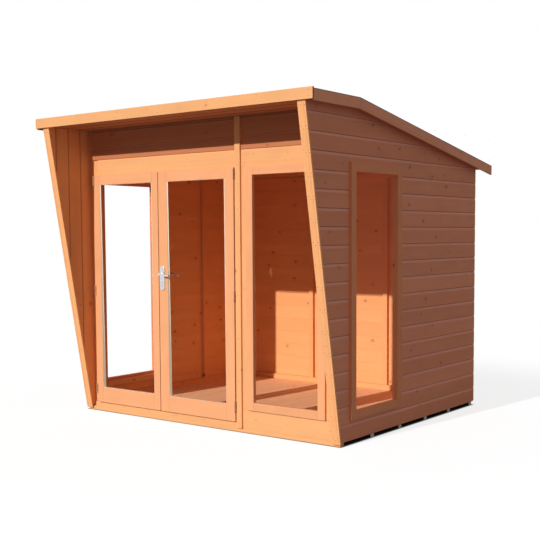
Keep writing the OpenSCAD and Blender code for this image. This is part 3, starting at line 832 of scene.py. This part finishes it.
class SUMMERHOUSE_OT_beads(bpy.types.Operator):
    """Adds the sloping beads that hold the panes of the doors"""

    bl_idname = "summerhouse.beads"
    bl_label = "Glazing beads"

    def execute(self, context):
        width = context.scene.summerhouse_sizes.bead
        for side in SIDES:
            node = f"{side}_door_glass"
            pane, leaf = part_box(node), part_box(f"{side}_door_leaf")
            faces = {"outer": (pane[0].y, leaf[0].y, "bead"), "inner": (pane[1].y, leaf[1].y, "joinery")}
            for name, (glass_y, leaf_y, one) in faces.items():
                bm = self.bead(pane, glass_y, leaf_y, width)
                if one == "joinery":
                    lay_grain(bm, bank=60)
                add_piece(f"{side}_door_{name}_beads", bm, [one], body_of(node), "joinery")
        return {"FINISHED"}

    def bead(self, pane, glass_y, leaf_y, width):
        """A mitred frame in the corner between the glass and the rebate round it"""
        lip, set_back = 1 * MM, 0.5 * MM
        middle, half = (pane[0] + pane[1]) / 2, (pane[1] - pane[0]) / 2
        upright = Matrix.Rotation(math.pi / 2, 4, "X") @ Matrix.Diagonal((half.x, half.z, 1, 1))
        bm = bmesh.new()
        bmesh.ops.create_grid(bm, x_segments=1, y_segments=1, size=1)
        bm.transform(Matrix.Translation((middle.x, glass_y, middle.z)) @ upright)
        pane_face = bm.faces[:]
        ring = bmesh.ops.inset_individual(bm, faces=pane_face, thickness=width)["faces"]
        bmesh.ops.delete(bm, geom=pane_face, context="FACES_ONLY")
        for vert in verts_of(bmesh.ops.extrude_face_region(bm, geom=ring)["geom"]):
            vert.co.y = leaf_y + math.copysign(set_back, glass_y - leaf_y)
            from_middle = vert.co - middle
            if abs(from_middle.x) < half.x - width / 2:
                vert.co.x = middle.x + math.copysign(half.x - lip, from_middle.x)
                vert.co.z = middle.z + math.copysign(half.z - lip, from_middle.z)
        bmesh.ops.recalc_face_normals(bm, faces=bm.faces)
        return bm


class SUMMERHOUSE_OT_glass(bpy.types.Operator):
    """Gives the panes their glass"""

    bl_idname = "summerhouse.glass"
    bl_label = "Glass"

    def execute(self, context):
        for node, pane in frame["nodes"].items():
            if node.endswith("_glass"):
                pane.data.materials.clear()
                pane.data.materials.append(finish("glass"))
        return {"FINISHED"}


class SUMMERHOUSE_OT_floor(bpy.types.Operator):
    """Finishes the floor boards, which run from front to back"""

    bl_idname = "summerhouse.floor"
    bl_label = "Floor"

    def execute(self, context):
        board = context.scene.summerhouse_sizes.floor_board
        dress("floor_boards", ["floor", "end_grain"], run=AXES["y"], across=AXES["x"],
              start=(board / 2, 0, 0), board=board, bank=5, sort=self.board_end)
        return {"FINISHED"}

    def board_end(self, face, run, middle):
        """The ends of the boards take the second finish"""
        return ends_apart(face, AXES["y"], middle)


class SUMMERHOUSE_OT_roof(bpy.types.Operator):
    """Finishes the roof boards and the felt, and lays the felt's laps and turned edges"""

    bl_idname = "summerhouse.roof"
    bl_label = "Roof"

    def execute(self, context):
        sizes = context.scene.summerhouse_sizes
        dress("roof_boards", ["matchboard"], run=AXES["x"], across=AXES["y"],
              start=(0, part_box("roof_boards")[0].y, 0), board=sizes.match_board, bank=6)
        dress("roof_felt", ["felt"])
        felt, clouts = bmesh.new(), bmesh.new()
        self.add_laps(felt, clouts, sizes.clout)
        for side in SIDES:
            self.turn_edge(felt, clouts, f"{side}_bargeboards", sizes.clout)
        add_piece("felt_laps_and_edges", felt, ["felt"], "building", "roofing_felt")
        add_piece("felt_nails", clouts, ["zinc"], "building", "zinc_plated_steel")
        return {"FINISHED"}

    def add_laps(self, felt, clouts, nail):
        """Each course of felt on the long slope lies over the one below it, its upper edge thinned"""
        course, lap, thick = 860 * MM, 75 * MM, 2 * MM
        nails_each_way, nail_in, nail_height = 20, 14 * MM, 1.2 * MM
        roof = copy_node("roof_felt")
        slope = max((broad_face(part, UP) for part in islands(roof)), key=lambda face: face.calc_area())
        facing = slope.normal.copy()
        half_width = max(vert.co.x for vert in slope.verts)
        lowest = min(slope.verts, key=lambda vert: vert.co.z).co.copy()
        roof.free()
        upwards = AXES["x"].cross(facing).normalized()
        if upwards.z < 0:
            upwards.negate()
        turn = Matrix((AXES["x"], upwards, AXES["x"].cross(upwards))).transposed().to_4x4()
        for number in (1, 2):
            edge = Vector((0, lowest.y, lowest.z)) + upwards * course * number
            centre = edge + upwards * lap / 2 + facing * thick * 0.4
            for vert in add_block(felt, centre, (2 * half_width, lap, thick), turn):
                from_edge = vert.co - centre
                if from_edge.dot(upwards) > 0 and from_edge.dot(facing) > 0:
                    vert.co -= facing * thick * 0.85
            first = edge + upwards * nail_in + facing * thick * 0.75
            for x in range(-nails_each_way, nails_each_way + 1):
                place = first + AXES["x"] * x * half_width / (nails_each_way + 0.4)
                add_head(clouts, place, facing, nail, nail_height)

    def turn_edge(self, felt, clouts, node, nail):
        """The felt is turned over the tops of the bargeboards"""
        thick, spacing = UP * 3 * MM, 150 * MM
        boards = copy_node(node)
        for part in islands(boards):
            top = broad_face(part, UP)
            sheet = felt.faces.new([felt.verts.new(vert.co) for vert in top.verts])
            raised = verts_of(bmesh.ops.extrude_face_region(felt, geom=[sheet])["geom"])
            bmesh.ops.translate(felt, verts=raised, vec=thick)
            run = Vector((0, top.normal.z, -top.normal.y))
            earlier = len(clouts.verts)
            nail_face(clouts, top, run, spacing, (0.5,), nail * 0.8)
            bmesh.ops.translate(clouts, verts=clouts.verts[:][earlier:], vec=thick)
        bmesh.ops.recalc_face_normals(felt, faces=felt.faces)
        boards.free()


class SUMMERHOUSE_OT_nails(bpy.types.Operator):
    """Drives the nails of the trim, the cladding and the floor"""

    bl_idname = "summerhouse.nails"
    bl_label = "Nails"

    def execute(self, context):
        sizes = context.scene.summerhouse_sizes
        for name, drive in (("trim", self.nail_trim), ("cladding", self.nail_cladding),
                            ("floor", self.nail_floor)):
            bm = bmesh.new()
            drive(bm, sizes)
            add_piece(name + "_nails", bm, ["nail"], "building", "zinc_plated_steel")
        return {"FINISHED"}

    def nail_trim(self, bm, sizes):
        """Nails along the face of every planed board"""
        for node, (facing, run, spacing, rows) in TRIM.items():
            boards = trim_copy(node)
            for part in islands(boards):
                nail_face(bm, broad_face(part, facing), run, spacing, rows, sizes.nail)
            boards.free()

    def nail_cladding(self, bm, sizes):
        """One nail in each board at every stud"""
        beside_window, behind_rake, from_corner, from_roof = 24 * MM, 30 * MM, 60 * MM, 50 * MM
        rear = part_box("back_wall_cladding")[1].y
        low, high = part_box("right_rake_board")
        lean = (high.y - low.y) / (high.z - low.z)
        for number, side in enumerate(SIDES):
            window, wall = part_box(f"{side}_window_frame"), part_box(f"{side}_wall_rear_cladding")
            facing = AXES["x"] * (2 * number - 1)
            face_x = wall[number].x
            fall = (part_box(f"{side}_wall_upper_cladding")[1].z - wall[1].z) / (wall[1].y - low.y)
            for y in (window[0].y - beside_window, window[1].y + beside_window,
                      (window[1].y + rear) / 2, rear - from_corner):
                top = wall[1].z + (wall[1].y - y) * fall * 0.9 - from_roof
                self.nail_stud(bm, sizes, facing, Vector((face_x, y, 0)), UP, top)
            foot = Vector((face_x, high.y + behind_rake + lean * low.z, 0))
            self.nail_stud(bm, sizes, facing, foot, UP + FRONT * lean, high.z - from_corner)
        inner_stud, outer_stud = 382 * MM, 30 * MM
        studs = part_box("back_wall_frame")
        for x in (studs[0].x + outer_stud, -inner_stud, inner_stud, studs[1].x - outer_stud):
            self.nail_stud(bm, sizes, AXES["y"], Vector((x, rear, 0)), UP, studs[1].z)

    def nail_stud(self, bm, sizes, facing, foot, way, top):
        """A column of nails, each a little above the foot of its board; way climbs one metre"""
        above_joint = 32 * MM
        courses = int((top - sizes.first_course) / sizes.course)
        add_head(bm, foot + way * sizes.first_course / 2, facing, sizes.nail)
        for course in range(courses + 1):
            z = sizes.first_course + course * sizes.course + above_joint
            if z < top:
                add_head(bm, foot + way * z, facing, sizes.nail)

    def nail_floor(self, bm, sizes):
        """Two nails through each floor board into each bearer"""
        bearers, from_front, from_back, off_middle = 6, 40 * MM, 22 * MM, 0.3
        low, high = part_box("floor_boards")
        front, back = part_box("floor_joists")
        pitch = (back.y - front.y - from_front - from_back) / (bearers - 1)
        half = int((high.x - low.x) / sizes.floor_board) // 2
        for bearer in range(bearers):
            y = front.y + from_front + pitch * bearer
            for board in range(-half, half + 1):
                for side in (-off_middle, off_middle):
                    add_head(bm, Vector(((board + side) * sizes.floor_board, y, high.z)), UP, sizes.nail)


class SUMMERHOUSE_OT_fittings(bpy.types.Operator):
    """Finishes the hinges and the lever handle, and adds the lock's cylinder and the screws"""

    bl_idname = "summerhouse.fittings"
    bl_label = "Fittings"

    def execute(self, context):
        sizes = context.scene.summerhouse_sizes
        for node in ("door_hinges", "left_door_hinges", "right_door_hinges"):
            dress(node, ["hinge"], arris=sizes.hinge_arris)
        for node in ("handle_plates", "lever_handle"):
            dress(node, ["chrome"], arris=sizes.fine_arris)
        lower_screw, lock, upper_screw, height = 17 * MM, 50 * MM, 15 * MM, 1.6 * MM
        low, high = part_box("handle_plates")
        bm = bmesh.new()
        for y, facing in ((low.y, FRONT), (high.y, -FRONT)):
            middle = Vector(((low.x + high.x) / 2, y, 0))
            for z in (low.z + lower_screw, high.z - upper_screw):
                add_head(bm, middle + UP * z, facing, sizes.screw, height, 16)
            self.add_cylinder(bm, middle + UP * (low.z + lock), facing)
        add_piece("lock_cylinder_and_screws", bm, ["chrome", "keyway_shade"], "right_door", "satin_chrome")
        return {"FINISHED"}

    def add_cylinder(self, bm, place, facing):
        """The round head of a lock, the foot below it, and a dark block in the slot for a key, as painted
        shade
        """
        head, height, foot_below, slot_out = 17 * MM, 3 * MM, 11 * MM, 1.8 * MM
        add_head(bm, place, facing, head, height, 24)
        add_block(bm, place - UP * foot_below, Vector((10, 2.4, 18)) * MM)
        # Painted shade: a dark block in the head of the lock stands in for the shade inside the keyhole
        slot = add_block(bm, place + facing * slot_out, Vector((1.8, 0.6, 8)) * MM)
        for face in faces_of(slot):
            face.material_index = 1


class SUMMERHOUSE_PT_panel(bpy.types.Panel):
    """Lists the summerhouse's settings and the steps that dress it"""

    bl_label = "Summerhouse"
    bl_space_type = "VIEW_3D"
    bl_region_type = "UI"
    bl_category = "Summerhouse"

    def draw(self, context):
        for group in ("summerhouse_colours", "summerhouse_sizes", "summerhouse_studio"):
            settings = getattr(context.scene, group)
            box = self.layout.box()
            for name in settings.bl_rna.properties.keys():
                if name not in ("rna_type", "name"):
                    box.prop(settings, name)
        for step in STEPS:
            self.layout.operator(step.bl_idname)


GROUPS = {
    "summerhouse_colours": SummerhouseColours,
    "summerhouse_sizes": SummerhouseSizes,
    "summerhouse_studio": SummerhouseStudio,
}
STEPS = (
    SUMMERHOUSE_OT_stage, SUMMERHOUSE_OT_cladding, SUMMERHOUSE_OT_matchboard,
    SUMMERHOUSE_OT_framing, SUMMERHOUSE_OT_trim, SUMMERHOUSE_OT_joinery, SUMMERHOUSE_OT_beads,
    SUMMERHOUSE_OT_glass, SUMMERHOUSE_OT_floor, SUMMERHOUSE_OT_roof, SUMMERHOUSE_OT_nails,
    SUMMERHOUSE_OT_fittings,
)


def register():
    """Makes the settings, the steps and the panel known"""
    for group in (*GROUPS.values(), *STEPS, SUMMERHOUSE_PT_panel):
        bpy.utils.register_class(group)
    for name, group in GROUPS.items():
        setattr(bpy.types.Scene, name, PointerProperty(type=group))


def unregister():
    """Takes them away again"""
    for name in GROUPS:
        delattr(bpy.types.Scene, name)
    for group in (SUMMERHOUSE_PT_panel, *reversed(STEPS), *GROUPS.values()):
        bpy.utils.unregister_class(group)


def main():
    """Dresses the frame"""
    register()
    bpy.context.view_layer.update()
    for step in STEPS:
        group, name = step.bl_idname.split(".")
        getattr(getattr(bpy.ops, group), name)()


if __name__ == "__main__":
    main()
